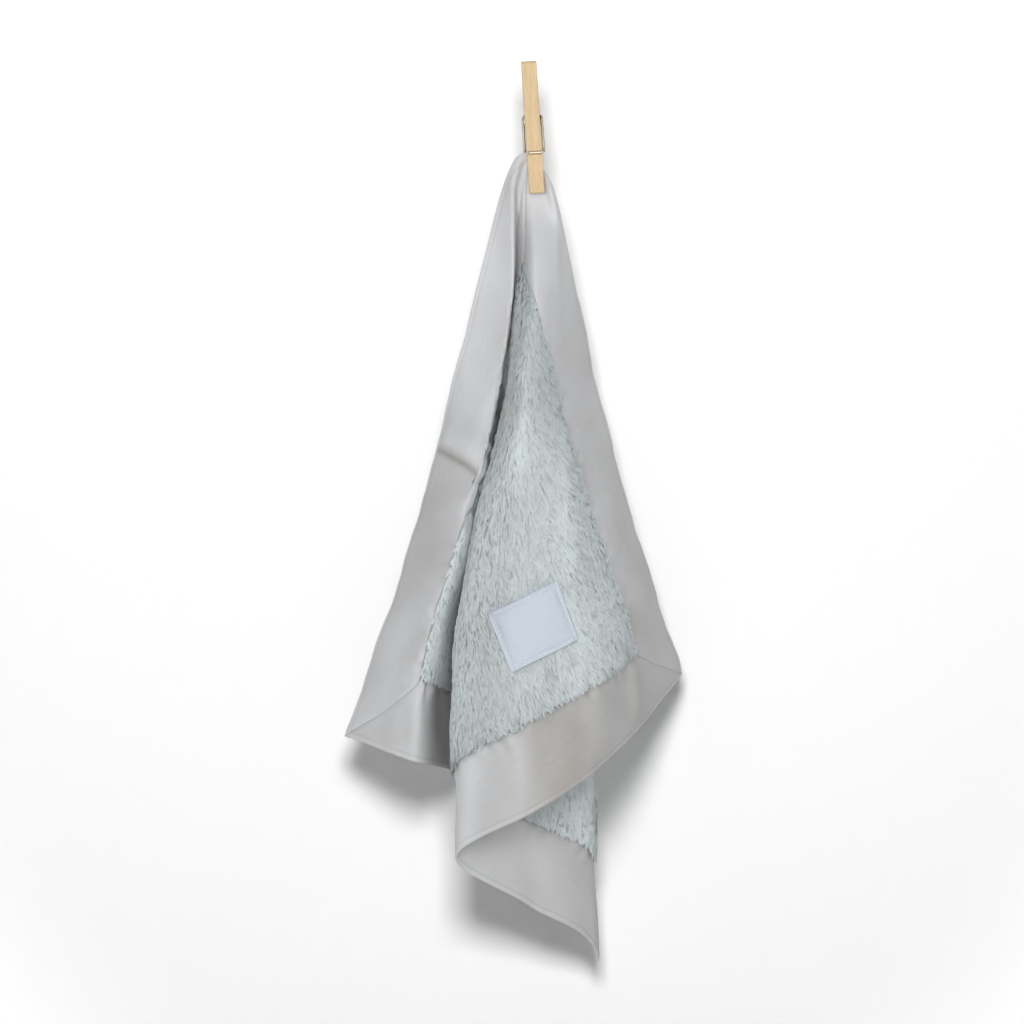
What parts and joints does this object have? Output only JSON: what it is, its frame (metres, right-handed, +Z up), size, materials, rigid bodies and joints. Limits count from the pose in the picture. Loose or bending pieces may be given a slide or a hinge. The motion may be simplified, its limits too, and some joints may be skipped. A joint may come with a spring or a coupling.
{
  "type": "comfort blanket",
  "caption": "Small square pile-fabric comfort blanket with a wide mitred satin binding and a sewn label, hanging in pleats by one corner from a sprung wooden clothes peg.",
  "frame": {"origin": "centre of the round line notch between the clothes peg's legs, where a washing line would pass", "axes": "+Z up, +Y from the blanket's front to its back, +X to the right as seen from the front"},
  "size_m": [0.2106, 0.1301, 0.5591],
  "materials": {
    "pile_fabric": "long soft pile, pale grey-green",
    "satin": "silver-grey satin weave",
    "woven_label": "white woven tape, unprinted",
    "thread": "matt off-white thread",
    "birch": "bare pale birch",
    "spring_wire": "bright drawn wire"
  },
  "bodies": {
    "back_leg": {"peg_back_leg": "birch", "peg_spring": "spring_wire"},
    "front_leg": {"peg_front_leg": "birch"},
    "blanket": {"plush_front": "pile_fabric", "plush_back": "pile_fabric", "binding_left": "satin", "binding_right": "satin", "binding_lower_left": "satin", "binding_lower_right": "satin", "label": "woven_label", "label_stitching": "thread"}
  },
  "joints": [
    {"name": "peg_jaw", "type": "hinge", "parent": "back_leg", "child": "front_leg", "pos_m": [-0.00074, 0.00075, 0.01148], "axis": [-0.9979, 0, -0.0645], "range_deg": [0, 7], "stiffness_Nm_per_rad": 0.15, "springref_deg": -80.21, "deforming": ["peg_spring"]},
    {"name": "blanket_pull", "type": "slide", "parent": "back_leg", "child": "blanket", "axis": [0, 0, -1], "range_m": [0, 0.06]}
  ]
}
